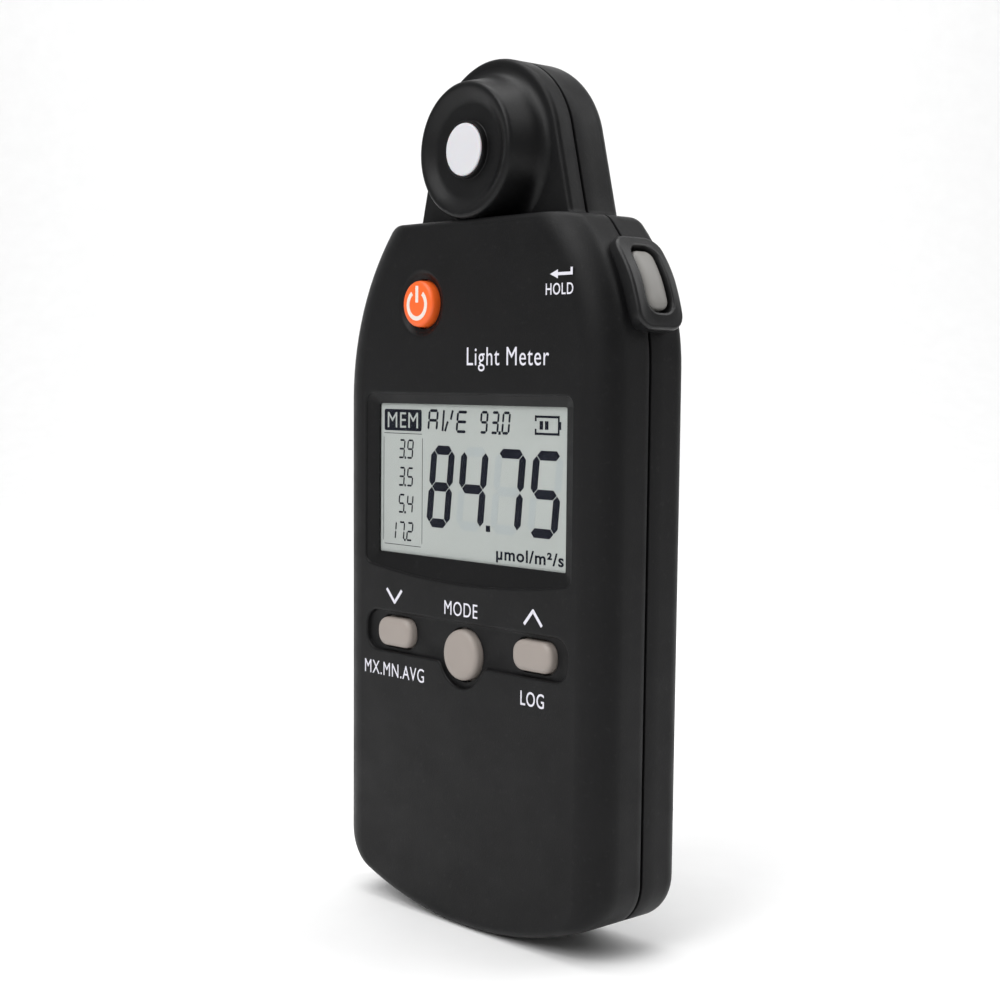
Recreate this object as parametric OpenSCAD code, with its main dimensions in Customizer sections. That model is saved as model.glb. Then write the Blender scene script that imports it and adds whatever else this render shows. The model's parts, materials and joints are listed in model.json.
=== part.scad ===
// Handheld light meter, upright, in millimetres.
// The origin is the middle of the flat back. +Z runs up along the meter, -Y faces the reader,
// and the side key is on +X. "Depth" is measured back from the front face, "height" up from
// the lowest point.

/* [Case] */
// Width of the case
body_w = 62.6; // [58:0.2:66]
// Depth of the case, front face to back face
body_d = 18.2; // [18:0.1:20]
// Height of the case's shoulders above its lowest point
top_h = 113.6; // [110:0.2:118]
// Depth of the seam between the two shells
seam_d = 9.5; // [9:0.1:10]
// Wall thickness of both shells
wall = 2; // [1.8:0.1:2.2]
// Radius of the round-over on the front edge
front_round = 4.5; // [2:0.1:4.6]
// Radius of the round-over on the back edge
back_round = 2.9; // [2.5:0.1:2.9]
// Radius of the curved bottom
bottom_r = 70.6; // [60:0.2:90]
// Radius of the two bottom corners
low_r = 7.5; // [5:0.1:9]
// Radius of the two top corners
top_r = 3; // [2.5:0.1:4]
// Radius of the left shoulder
left_r = 43.6; // [41:0.1:46]
// Radius of the right shoulder, which carries the side key
right_r = 33.8; // [33:0.1:35]
// Share of the width lost per millimetre below the shoulders
narrowing = 0.00015; // [0:0.00005:0.0003]

/* [Sensor head] */
// Height of the sensor's axis
sensor_h = 124.3; // [122:0.1:126]
// Radius of the head's round top
head_r = 14.8; // [14:0.1:16]
// Flare of the head's sides towards the case, in degrees
head_flare = 13.6; // [8:0.1:18]
// Depth of the head's front face
head_d = 5.95; // [5.5:0.05:6.5]
// Radius of the collar's rim
rim_r = 10.7; // [10:0.1:11]
// Radius of the collar where it meets the head
collar_r = 12; // [11.5:0.1:12.5]
// Radius of the diffuser's face
diffuser_r = 4.1; // [3.5:0.1:4.5]

/* [Display] */
// Height of the middle of the display
display_h = 71.85; // [71:0.05:73]
// Width of the display window
window_w = 44.6; // [42:0.1:45]
// Height of the display window
window_t = 24.9; // [23:0.1:25]
// Width of the sunk frame round the window
frame_w = 48.4; // [47:0.1:49]
// Height of the sunk frame round the window
frame_t = 27.5; // [26:0.1:28]
// Depth of the sunk frame
frame_d = 1.1; // [0.8:0.1:1.2]

/* [Keys] */
// Height of the two oval keys
oval_h = 46.2; // [45:0.1:47]
// Distance of an oval key from the middle
oval_x = 16.5; // [15:0.1:18]
// Width of an oval key
oval_w = 8.6; // [7:0.1:9]
// Height of an oval key's face
oval_t = 4.8; // [4:0.1:5.4]
// Height of the round middle key
mode_h = 44.4; // [43:0.1:46]
// Radius of the round middle key
mode_r = 4.1; // [3.5:0.1:4.4]
// Sideways place of the power key
power_x = -10.4; // [-14:0.1:-8]
// Height of the power key
power_h = 100.5; // [98:0.1:102]
// Radius of the power key
power_r = 3.75; // [3:0.05:4.2]
// Depth of the recess round the three lower keys
recess_d = 0.8; // [0.5:0.1:0.9]
// Travel of each front key
key_travel = 0.4; // [0.2:0.05:0.4]
// Travel of the side key
side_travel = 0.5; // [0.3:0.05:0.5]

/* [Battery bay] */
// Height of the bay's lower end
bay_low = 11; // [10.5:0.1:12]
// Clear length of the bay
bay_l = 49; // [48.6:0.1:50]
// Clear width of the bay
bay_w = 33.6; // [33:0.1:35]
// Diameter of a cell
cell_d = 10.5; // [10.2:0.1:10.5]
// Length of a cell
cell_l = 44.5; // [43.8:0.1:44.5]

/* [Hidden] */
$fn = 64;

total_h = sensor_h + head_r;
base_z = -total_h / 2;
half_w = body_w / 2;
slack = 0.06;
gap = 0.3;
skin = 0.02;

// Centres of the arcs of the outline
low_c = [half_w - low_r, bottom_r - sqrt(pow(bottom_r - low_r, 2) - pow(half_w - low_r, 2))];
low_a = atan2(low_c[1] - bottom_r, low_c[0]);
left_c = [half_w - left_r, 85];
right_c = [half_w - right_r, 90.3];
shoulder_h = left_c[1];

// Depth of the diffuser's face, which stands in a thin raised ring of the collar
diffuser_d = -0.4;

// Keys: the cap stands on a flange that rests under the front wall, over its switch
flange_t = 0.45;
flange_d = wall + 0.05;
switch_d = flange_d + flange_t + key_travel + 0.05;
board_d = 4.4;
board_t = 1.2;
plunger_r = 1.2;
key_face = -0.55;
power_face = -0.9;
power_dish_r = 5.1;
power_dish_d = 0.7;

// Side key: everything is placed on arcs round right_c, between angles from the horizontal
pod_out = right_r + 2.2;
pod_front = 5.5;
pod_back = 15.3;
pod_a = [9, 34.3];
slot_front = 6.6;
slot_back = 14.4;
slot_a = [11, 32];
opening_front = 7.7;
opening_back = 13.4;
opening_a = [13.2, 31];
side_key_gap = 0.5;
side_key_drop = 0.2;
side_a = 22;
side_mid = (opening_front + opening_back) / 2;
side_flange_r = 30.7;
side_switch_r = side_flange_r - side_travel - 0.6;
side_board_r = 25.6;

// Display stack, front to back: the lens, the panel's front glass in the window, its wider
// rear glass behind the wall, and the reflector
lens_t = 0.35;
panel_d = frame_d + lens_t + 0.05;
reflector_d = wall + 1.5;

// Battery bay
bay_top = bay_low + bay_l;
bay_wall = 1.5;
bay_floor = 5.65;
door_t = 1.2;
door_w = 36.4;
door_low = 9.7;
door_top = 62;
pivot_r = 0.6;
barrel_r = 0.95;
groove_r = barrel_r + 0.35;
pivot_d = body_d - barrel_r;
pivot_h = door_low + barrel_r;
pivot_l = 1.4;
half_door = door_w / 2 + 0.25;
cell_depth = body_d - door_t - 0.1 - cell_d / 2;
cell_pitch = cell_d + 0.5;
plate_t = 0.4;

// Screws
case_screws = [[-26.6, 90], [26.6, 90], [-26.6, 22], [26.6, 22]];
board_posts = [[-21.6, 40], [21.6, 40], [-17, 92], [17, 92]];
screw_r = 1.2;
screw_head_r = 2.1;
screw_head_d = 12.2;

// ---- Helpers ----

// A flat shape, drawn as width and height, between two depths
module plate(front, back) {
    translate([0, back - body_d, base_z])
        rotate([90, 0, 0]) linear_extrude(back - front) children();
}

// Children placed at a sideways place, a depth and a height
module spot(x, depth, height) {
    translate([x, depth - body_d, height + base_z]) children();
}

// A round bar along the depth
module bar(x, height, front, back, r) {
    spot(x, back, height) rotate([90, 0, 0]) cylinder(h = back - front, r = r);
}

// A turned shape on the sensor's axis, from points of radius and depth
module turned(points) {
    spot(0, 0, sensor_h) rotate([90, 0, 0])
        rotate_extrude() polygon([for (p = points) [p[0], -p[1]]]);
}

module round_rect(w, h, r) {
    square([w - 2 * r, h], center = true);
    square([w, h - 2 * r], center = true);
    for (x = [-1, 1], y = [-1, 1])
        translate([x * (w / 2 - r), y * (h / 2 - r)]) circle(r);
}

// Part of a ring round the right shoulder's centre
module sector(r0, r1, front, back, a0, a1) {
    spot(right_c[0], back, right_c[1]) rotate([90, 0, 0]) rotate([0, 0, a0])
        rotate_extrude(angle = a1 - a0) translate([r0, 0]) square([r1 - r0, back - front]);
}

// The side key's own axes: +X points straight out of the case
module side_axes() {
    spot(right_c[0], side_mid, right_c[1]) rotate([0, -side_a, 0]) children();
}

function arc(c, r, a0, a1, n) =
    [for (i = [0:n]) let (a = a0 + (a1 - a0) * i / n) [c[0] + r * cos(a), c[1] + r * sin(a)]];

function narrowed(p) = [p[0] * (1 - narrowing * max(0, shoulder_h - p[1])), p[1]];

// Centre of a top corner's arc, between a shoulder of radius r round c and the flat top
function top_corner(c, r, inset, corner) =
    let (h = top_h - inset - corner) [c[0] + sqrt(pow(r - inset - corner, 2) - pow(h - c[1], 2)), h];

function bearing(c, p) = atan2(p[1] - c[1], p[0] - c[0]);

// Outline of the case, drawn in by an inset
module body_shape(inset) {
    corner = max(top_r - inset, 0.4);
    right_top = top_corner(right_c, right_r, inset, corner);
    left_top = top_corner(left_c, left_r, inset, corner);
    right_a = bearing(right_c, right_top);
    left_a = bearing(left_c, left_top);
    outline = concat(
        arc([0, bottom_r], bottom_r - inset, -180 - low_a, low_a, 16),
        arc(low_c, low_r - inset, low_a, 0, 6),
        arc(right_c, right_r - inset, 0, right_a, 10),
        arc(right_top, corner, right_a, 90, 4),
        arc([-left_top[0], left_top[1]], corner, 90, 180 - left_a, 4),
        arc([-left_c[0], left_c[1]], left_r - inset, 180 - left_a, 180, 10),
        arc([-low_c[0], low_c[1]], low_r - inset, 180, 180 - low_a, 6)
    );
    polygon([for (p = outline) narrowed(p)]);
}

// Outline of the sensor head, drawn in by an inset, reaching down into the case
module head_shape(inset) {
    r = head_r - inset;
    foot_h = top_h - 8;
    side = [r * cos(head_flare), sensor_h + r * sin(head_flare)];
    foot_x = side[0] + (side[1] - foot_h) * tan(head_flare);
    polygon(concat([[-foot_x, foot_h], [foot_x, foot_h]],
        arc([0, sensor_h], r, head_flare, 180 - head_flare, 28)));
}

// A case half: a straight slab, and a stack of thin layers where one edge is rounded over
module rounded_body(front, back, front_r, back_r) {
    hull() {
        plate(front + front_r, back - back_r) body_shape(0);
        for (a = [30:30:90]) if (front_r > 0)
            plate(front + front_r * (1 - sin(a)), front + front_r * (1 - sin(a)) + skin)
                body_shape(front_r * (1 - cos(a)));
        for (a = [30:30:90]) if (back_r > 0)
            plate(back - back_r * (1 - sin(a)) - skin, back - back_r * (1 - sin(a)))
                body_shape(back_r * (1 - cos(a)));
    }
}

module rounded_head(front, back, front_r, back_r) {
    hull() {
        plate(front, front + skin) head_shape(front_r);
        plate(front + front_r, back - back_r) head_shape(0);
        plate(back - skin, back) head_shape(back_r);
    }
}

module oval_shape(grow) {
    round_rect(oval_w + 2 * grow, oval_t + 2 * grow, oval_t * 0.45 + grow);
}

// ---- Case ----

module key_openings() {
    translate([0, mode_h]) circle(mode_r + gap);
    for (x = [-oval_x, oval_x]) translate([x, oval_h]) oval_shape(gap);
}

module key_recess() {
    translate([0, oval_h]) round_rect(47.6, 7, 1.6);
    translate([0, mode_h]) circle(mode_r + 1.7);
}

module side_slot() {
    sector(side_flange_r - 1, pod_out + 1, slot_front - slack, slot_back + slack,
        slot_a[0] - 0.1, slot_a[1] + 0.1);
}

module front_shell() {
    color([0.11, 0.11, 0.12])
    difference() {
        union() {
            difference() {
                union() {
                    rounded_body(0, seam_d, front_round, 0);
                    rounded_head(head_d, seam_d, 0.8, 0);
                }
                plate(wall, seam_d + 1) body_shape(wall);
                plate(head_d + wall, seam_d + 1) head_shape(wall);
            }
            for (s = case_screws) bar(s[0], s[1], wall - 0.2, seam_d, 2.6);
            for (s = board_posts) bar(s[0], s[1], wall - 0.2, board_d, 1.9);
        }
        for (s = case_screws) bar(s[0], s[1], 3.4, seam_d + 1, screw_r + slack);
        for (s = board_posts) bar(s[0], s[1], wall, board_d + 1, 0.9);
        plate(-1, frame_d) translate([0, display_h]) round_rect(frame_w, frame_t, 1.5);
        plate(-1, wall + 1) translate([0, display_h])
            square([window_w + 0.1, window_t + 0.1], center = true);
        plate(-1, recess_d) key_recess();
        plate(-1, wall + 1) key_openings();
        bar(power_x, power_h, -1, power_dish_d, power_dish_r);
        bar(power_x, power_h, -1, wall + 1, power_r + gap);
        bar(0, sensor_h, head_d - 1, head_d + wall + 1, collar_r - 1);
        turned([[0, -1], [rim_r + 0.1, -1], [rim_r + 0.1, 0], [collar_r + 0.1, head_d],
            [0, head_d]]);
        side_slot();
    }
}

module rear_shell() {
    color([0.12, 0.12, 0.13])
    difference() {
        union() {
            difference() {
                union() {
                    rounded_body(seam_d, body_d, 0, back_round);
                    rounded_head(seam_d, body_d, 0, back_round);
                }
                plate(seam_d - 1, body_d - wall) body_shape(wall);
                plate(seam_d - 1, body_d - wall) head_shape(wall);
            }
            plate(bay_floor, body_d - 0.5)
                translate([-bay_w / 2 - bay_wall, bay_low - bay_wall])
                    square([bay_w + 2 * bay_wall, bay_l + 2 * bay_wall]);
            plate(body_d - 3, body_d - 0.5)
                translate([-half_door - 2.6, door_low - 2.5])
                    square([2 * half_door + 5.2, door_top - door_low + 4.5]);
            for (s = case_screws) bar(s[0], s[1], seam_d, body_d - 0.5, 3.3);
        }
        plate(bay_floor + 0.7, body_d + 1)
            translate([-bay_w / 2, bay_low]) square([bay_w, bay_l]);
        plate(body_d - door_t - 0.1, body_d + 1)
            translate([-half_door, pivot_h])
                square([2 * half_door, door_top + 0.25 - pivot_h]);
        spot(-half_door, pivot_d, pivot_h) rotate([0, 90, 0])
            cylinder(h = 2 * half_door, r = groove_r);
        spot(0, body_d, door_top) rotate([90, 0, 0])
            cylinder(h = door_t + 0.1, r = 6, center = true);
        spot(-half_door - pivot_l - 0.3, pivot_d, pivot_h) rotate([0, 90, 0])
            cylinder(h = 2 * (half_door + pivot_l + 0.3), r = pivot_r + slack);
        for (s = case_screws) {
            bar(s[0], s[1], seam_d - 1, body_d + 1, screw_r + 0.3);
            bar(s[0], s[1], screw_head_d, body_d + 1, screw_head_r + 0.4);
        }
        side_slot();
    }
}

module housing_screws() {
    color("silver")
    for (s = case_screws) {
        bar(s[0], s[1], 4, screw_head_d, screw_r);
        difference() {
            bar(s[0], s[1], screw_head_d, screw_head_d + 1.6, screw_head_r);
            for (a = [0, 90]) spot(s[0], screw_head_d + 1.6, s[1]) rotate([0, a, 0])
                cube([2.6, 1.6, 0.6], center = true);
        }
    }
}

// ---- Sensor ----

module sensor_collar() {
    color([0.1, 0.1, 0.11])
    turned([
        [diffuser_r + slack, diffuser_d + 0.15], [diffuser_r + 0.45, diffuser_d + 0.15],
        [diffuser_r + 0.55, 0.8], [7.4, 0.8], [9.3, -0.1], [9.8, -0.3], [10.2, -0.3],
        [rim_r, 0.1], [collar_r, head_d], [collar_r - 1 - slack, head_d],
        [collar_r - 1 - slack, head_d + 2.6], [9, head_d + 2.6], [9, 2.4], [diffuser_r + slack, 2.4]
    ]);
}

module diffuser() {
    color("white")
    turned([[0, diffuser_d], [diffuser_r - 0.15, diffuser_d], [diffuser_r, diffuser_d + 0.15],
        [diffuser_r, 2.45], [6.5, 2.45], [6.5, 3.4], [0, 3.4]]);
}

module sensor_filter() {
    color([0.5, 0.8, 0.8]) turned([[0, 3.45], [6.2, 3.45], [6.2, 4.5], [0, 4.5]]);
}

module sensor_baffle() {
    color([0.08, 0.08, 0.08])
    turned([[6.6, 2.5], [8.8, 2.5], [8.8, 7.4], [4.9, 7.4], [4.9, 4.6], [6.6, 4.6]]);
}

module photodiode() {
    color([0.75, 0.75, 0.7])
    turned([[0, 4.8], [4.1, 4.8], [4.1, 7], [4.6, 7], [4.6, 7.5], [0, 7.5]]);
}

module sensor_board() {
    color([0.1, 0.4, 0.2]) turned([[0, 7.5], [8.8, 7.5], [8.8, 8.6], [0, 8.6]]);
}

// A flat ribbon that drops behind the sensor board and turns in to the main board
module sensor_cable() {
    color([0.8, 0.8, 0.8])
    spot(-3, 0, 0) rotate([90, 0, 90]) linear_extrude(6)
        polygon([[8.6, 120], [9.3, 120], [9.3, 106], [5.6, 102], [5.6, 103.2], [8.6, 106.4]]);
}

// ---- Display ----

module display_window() {
    color([0.75, 0.8, 0.8, 0.4])
    plate(frame_d, frame_d + lens_t) translate([0, display_h])
        square([window_w, window_t], center = true);
}

module display_panel() {
    color([0.72, 0.75, 0.72])
    plate(panel_d, wall + 0.1) translate([0, display_h])
        square([window_w, window_t], center = true);
    plate(wall + 0.1, reflector_d) translate([0, display_h])
        square([window_w + 0.8, window_t + 1.4], center = true);
}

module display_reflector() {
    color("white")
    plate(reflector_d, board_d - 0.1) translate([0, display_h])
        square([window_w, window_t - 4.4], center = true);
}

module display_connectors() {
    color([0.85, 0.5, 0.6])
    for (side = [-1, 1]) plate(reflector_d, board_d)
        translate([0, display_h + side * (window_t / 2 - 0.8)])
            square([window_w - 4, 1.6], center = true);
}

module display_frame() {
    color([0.2, 0.2, 0.2])
    difference() {
        plate(wall + 0.05, board_d - 0.05) translate([0, display_h])
            square([window_w + 3.2, window_t + 3.8], center = true);
        plate(0, board_d + 1) translate([0, display_h])
            square([window_w + 0.9, window_t + 1.5], center = true);
    }
}

// ---- Electronics ----

module main_board() {
    color([0.1, 0.4, 0.2])
    difference() {
        plate(board_d, board_d + board_t) {
            translate([-23.8, 36]) square([47.6, 60]);
            translate([-18.6, 95]) square([37.2, 12]);
        }
        for (s = board_posts) bar(s[0], s[1], board_d - 1, board_d + board_t + 1, 1.2);
    }
}

module board_chips() {
    behind = board_d + board_t;
    color([0.12, 0.12, 0.12]) {
        plate(behind, behind + 1.4) translate([4, 80]) square([10, 10], center = true);
        plate(behind, behind + 1.2) translate([-4, 94]) square([5, 4], center = true);
        plate(behind, behind + 1.8) translate([-17, 71]) square([7, 3.4], center = true);
    }
}

module buzzer() {
    behind = board_d + board_t;
    color([0.15, 0.15, 0.15])
    difference() {
        bar(-13, 81, behind, behind + 4.4, 4.6);
        bar(-13, 81, behind + 3.4, behind + 5, 1);
    }
}

module board_screws() {
    behind = board_d + board_t;
    color("silver")
    for (s = board_posts) {
        bar(s[0], s[1], 2.6, behind, 0.85);
        bar(s[0], s[1], behind, behind + 1, 1.8);
    }
}

module front_switches() {
    color([0.25, 0.25, 0.27])
    for (k = [[power_x, power_h], [-oval_x, oval_h], [0, mode_h], [oval_x, oval_h]])
        difference() {
            plate(switch_d, board_d) translate(k) square([5, 5], center = true);
            bar(k[0], k[1], switch_d - 1, board_d - 0.25, plunger_r + 0.1);
        }
}

// The plunger of a front switch, from the key's flange into the switch
module plunger(x, height) {
    color([0.1, 0.1, 0.1])
    bar(x, height, flange_d + flange_t, switch_d + 0.7, plunger_r);
}

module power_plunger() { plunger(power_x, power_h); }
module down_plunger() { plunger(-oval_x, oval_h); }
module mode_plunger() { plunger(0, mode_h); }
module up_plunger() { plunger(oval_x, oval_h); }

// ---- Keys ----

module round_key(x, height, face, r) {
    bar(x, height, face, flange_d + flange_t, r);
    bar(x, height, flange_d, flange_d + flange_t, r + 0.9);
}

module oval_key(x) {
    plate(key_face, flange_d + flange_t) translate([x, oval_h]) oval_shape(0);
    plate(flange_d, flange_d + flange_t) translate([x, oval_h]) oval_shape(0.9);
}

module power_button() { color([0.95, 0.42, 0.16]) round_key(power_x, power_h, power_face, power_r); }
module mode_button() { color([0.69, 0.66, 0.63]) round_key(0, mode_h, key_face, mode_r); }
module down_button() { color([0.69, 0.66, 0.63]) oval_key(-oval_x); }
module up_button() { color([0.69, 0.66, 0.63]) oval_key(oval_x); }

// ---- Side key ----

module hold_bezel() {
    color([0.12, 0.12, 0.13])
    difference() {
        union() {
            sector(right_r + skin, pod_out, pod_front, pod_back, pod_a[0], pod_a[1]);
            sector(right_r - wall + skin, right_r + 1, slot_front, slot_back, slot_a[0], slot_a[1]);
        }
        sector(side_flange_r - 1, pod_out + 1, opening_front, opening_back,
            opening_a[0], opening_a[1]);
    }
}

module hold_button() {
    turn = side_key_gap / right_r * 180 / PI;
    cap_front = opening_front + side_key_gap;
    cap_back = opening_back - side_key_gap;
    color([0.55, 0.54, 0.53]) {
        sector(side_flange_r, pod_out - side_key_drop, cap_front, cap_back,
            opening_a[0] + turn, opening_a[1] - turn);
        sector(side_flange_r, right_r - wall - 0.1, slot_front + 0.5, slot_back - 0.5,
            slot_a[0] + 0.9, slot_a[1] - 0.9);
    }
}

module hold_plunger() {
    color([0.1, 0.1, 0.1])
    side_axes() translate([side_switch_r - 0.8, 0, 0]) rotate([0, 90, 0])
        cylinder(h = side_flange_r - side_switch_r + 0.7, r = plunger_r);
}

module side_switch() {
    color([0.25, 0.25, 0.27])
    side_axes() difference() {
        translate([side_board_r + 1, -3, -3]) cube([side_switch_r - side_board_r - 1, 6, 6]);
        translate([side_switch_r - 1.6, 0, 0]) rotate([0, 90, 0])
            cylinder(h = 3, r = plunger_r + 0.1);
    }
}

module side_board() {
    color([0.1, 0.4, 0.2])
    side_axes() translate([side_board_r, board_d + board_t + 0.05 - side_mid, -4.6])
        cube([1, 8.4, 9.2]);
}

// ---- Battery bay ----

module battery_cells() {
    color([0.2, 0.35, 0.6])
    for (i = [-1:1]) {
        up = (i == 0) ? -1 : 1;
        middle = bay_low + bay_l / 2 + up * (bay_l / 2 - plate_t - cell_l / 2 - 0.05);
        spot(i * cell_pitch, cell_depth, middle) mirror([0, 0, up < 0 ? 1 : 0]) {
            translate([0, 0, -cell_l / 2]) cylinder(h = cell_l - 1.2, r = cell_d / 2);
            translate([0, 0, cell_l / 2 - 1.2]) cylinder(h = 1.2, r = 1.9);
        }
    }
}

module cell_plates() {
    color("gold")
    for (h = [bay_low, bay_top - plate_t], i = [-1:1])
        spot(i * cell_pitch - 4, cell_depth - 3.5, h) cube([8, 7, plate_t]);
}

// Each spring is drawn as the few closed turns that its coil presses into
module cell_springs() {
    free_l = bay_l - 2 * plate_t - cell_l - 0.1;
    color("silver")
    for (i = [-1:1]) {
        low = (i == 0) ? bay_top - plate_t - free_l + 0.05 : bay_low + plate_t;
        for (turn = [0:3])
            spot(i * cell_pitch, cell_depth, low + turn * (free_l - 0.75) / 3 + 0.35)
                rotate_extrude() translate([3.2 - turn * 0.2, 0]) circle(0.3, $fn = 16);
    }
}

module battery_leads() {
    color([0.7, 0.1, 0.1])
    for (x = [-12, 12]) {
        spot(x, 8, bay_top + bay_wall) cylinder(h = 6, r = 0.6);
        bar(x, bay_top + bay_wall + 5.4, board_d + board_t, 8.6, 0.6);
    }
}

module battery_door() {
    color([0.12, 0.12, 0.13])
    difference() {
        union() {
            plate(body_d - door_t, body_d) translate([-door_w / 2, pivot_h])
                square([door_w, door_top - pivot_h]);
            spot(-door_w / 2, pivot_d, pivot_h) rotate([0, 90, 0])
                cylinder(h = door_w, r = barrel_r);
            spot(-door_w / 2 - pivot_l, pivot_d, pivot_h) rotate([0, 90, 0])
                cylinder(h = door_w + 2 * pivot_l, r = pivot_r);
        }
        for (i = [0:3]) spot(-6, body_d - 0.4, door_top - 5 - 1.6 * i) cube([12, 1, 0.8]);
    }
}

front_shell();
rear_shell();
sensor_collar();
diffuser();
sensor_filter();
sensor_baffle();
photodiode();
sensor_board();
sensor_cable();
display_window();
display_frame();
display_panel();
display_reflector();
display_connectors();
main_board();
board_chips();
buzzer();
front_switches();
side_switch();
side_board();
power_button();
power_plunger();
down_button();
down_plunger();
mode_button();
mode_plunger();
up_button();
up_plunger();
hold_bezel();
hold_button();
hold_plunger();
battery_cells();
cell_plates();
cell_springs();
battery_leads();
battery_door();
housing_screws();
board_screws();
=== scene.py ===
import json
from math import atan2, cos, degrees, hypot, pi, radians, sin, sqrt, tan

import bmesh
import bpy
from mathutils import Matrix, Vector
from mathutils.geometry import delaunay_2d_cdt


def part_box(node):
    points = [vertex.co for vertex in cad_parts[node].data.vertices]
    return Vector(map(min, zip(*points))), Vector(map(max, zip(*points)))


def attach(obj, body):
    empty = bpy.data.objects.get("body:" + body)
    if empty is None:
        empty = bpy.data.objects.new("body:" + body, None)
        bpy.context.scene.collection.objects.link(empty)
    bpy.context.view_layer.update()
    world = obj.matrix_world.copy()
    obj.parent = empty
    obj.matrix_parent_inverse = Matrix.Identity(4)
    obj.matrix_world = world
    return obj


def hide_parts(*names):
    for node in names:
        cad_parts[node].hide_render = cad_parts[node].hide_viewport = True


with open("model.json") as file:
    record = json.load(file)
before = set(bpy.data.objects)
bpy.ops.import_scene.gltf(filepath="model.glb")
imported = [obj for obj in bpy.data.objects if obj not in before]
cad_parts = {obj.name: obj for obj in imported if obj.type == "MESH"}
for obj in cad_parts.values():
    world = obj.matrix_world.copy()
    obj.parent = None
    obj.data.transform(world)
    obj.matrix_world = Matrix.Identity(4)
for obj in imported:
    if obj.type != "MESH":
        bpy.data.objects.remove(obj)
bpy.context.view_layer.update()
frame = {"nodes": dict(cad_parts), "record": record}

# Looks for a handheld light meter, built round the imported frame.
# Points are (x, depth, height) in millimetres: x to the reader's right, depth back from the
# front face, height up from the lowest point. place() turns them into the frame's metres.

MM = 0.001
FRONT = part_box("front_shell")[0].y
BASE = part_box("front_shell")[0].z


def place(point):
    return Vector((point[0] * MM, FRONT + point[1] * MM, BASE + point[2] * MM))


def extent(node):
    """Lowest and highest corner of a CAD node as (x, depth, height)."""
    return [(p.x / MM, (p.y - FRONT) / MM, (p.z - BASE) / MM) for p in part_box(node)]


def middle(node):
    low, high = extent(node)
    return [(a + b) / 2 for a, b in zip(low, high)]


# ---- Sizes ----

DEPTH = extent("rear_shell")[1][1]
TOTAL_H = extent("front_shell")[1][2]
HALF_W = extent("front_shell")[1][0]
TOP_H = 113.6            # the case's flat top, under the sensor head
BOTTOM_R = 70.6          # the curved bottom
LOW_R, TOP_R = 7.5, 3.0  # bottom and top corners
LEFT_R, LEFT_H = 43.6, 85.0
RIGHT_R, RIGHT_H = 33.8, 90.3
SHOULDER = (HALF_W - RIGHT_R, RIGHT_H)
NARROWING = 0.00015      # share of the width lost per millimetre below LEFT_H
WALL = 2.0
SEAM = 9.5
SEAM_GAP = 0.25          # half the groove between the shells

SIDE_ROUND, SIDE_ROUND_D = 5.5, 4.5   # front round-over of the sides: width and depth
TOP_ROUND = 1.0
LOW_ROUND, LOW_ROUND_D = 1.5, 1.8
BACK_ROUND = 2.9

HEAD_R = 14.8
HEAD_H = TOTAL_H - HEAD_R
HEAD_D = 5.95
HEAD_FLARE = 13.6
HEAD_ROUND, HEAD_BACK_ROUND = 0.8, 3.4
NECK_FILLET = 1.3

LIP = 0.25               # round-over of small sunk edges
GUARD = 0.2              # narrow flat ring that keeps flat faces shaded flat


# ---- Outlines, as (x, height) ----

def arc(centre, radius, start, end, steps):
    return [(centre[0] + radius * cos(radians(a)), centre[1] + radius * sin(radians(a)))
            for a in (start + (end - start) * i / steps for i in range(steps + 1))]


def along(start, end, steps):
    """The points strictly between two points."""
    return [(start[0] + (end[0] - start[0]) * i / steps,
             start[1] + (end[1] - start[1]) * i / steps) for i in range(1, steps)]


def mirrored(points):
    return [(-x, h) for x, h in reversed(points)]


def circle(centre, radius, steps=48):
    return arc(centre, radius, 0, 360, steps)[:-1]


def round_rect(half_w, half_h, radius, centre=(0, 0), corner=8, sides=(1, 1)):
    """A rounded rectangle from the lower right corner round; sides split its edges."""
    x, h = half_w - radius, half_h - radius
    corners = [arc((centre[0] + sx * x, centre[1] + sh * h), radius, a, a + 90, corner)
               for sx, sh, a in ((1, -1, -90), (1, 1, 0), (-1, 1, 90), (-1, -1, 180))]
    loop = []
    for i, points in enumerate(corners):
        loop += points + along(points[-1], corners[(i + 1) % 4][0], sides[(i + 1) % 2])
    return loop


def shoulder(centre, radius, side, top):
    """A shoulder arc and its top corner, on the right, from the side up to the flat top."""
    r = radius - side
    corner = max(TOP_R - top, 0.4)
    h = TOP_H - top - corner
    x = centre[0] + sqrt((r - corner) ** 2 - (h - centre[1]) ** 2)
    lean = degrees(atan2(h - centre[1], x - centre[0]))
    return arc(centre, r, 0, lean, 14)[:-1] + arc((x, h), corner, lean, 90, 6)


def case_sides(side, top, bottom):
    """The case's outline from the left end of its flat top down, across and up to the right
    end, drawn in by its own amount at the sides, the top and the bottom."""
    corner = max(LOW_R - (side + bottom) / 2, 1.5)
    x = HALF_W - side - corner
    h = BOTTOM_R - sqrt((BOTTOM_R - bottom - corner) ** 2 - x ** 2)
    lean = degrees(atan2(h - BOTTOM_R, x))
    right_low = arc((x, h), corner, lean, 0, 10)
    right = shoulder(SHOULDER, RIGHT_R, side, top)
    left = shoulder((HALF_W - LEFT_R, LEFT_H), LEFT_R, side, top)
    outline = (mirrored(left) + along((-left[0][0], left[0][1]), (-right_low[-1][0], h), 6)
               + mirrored(right_low)[:-1]
               + arc((0, BOTTOM_R), BOTTOM_R - bottom, -180 - lean, lean, 28)[:-1]
               + right_low + along(right_low[-1], right[0], 6) + right)
    return [(x * (1 - NARROWING * max(0, LEFT_H - h)), h) for x, h in outline]


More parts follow.
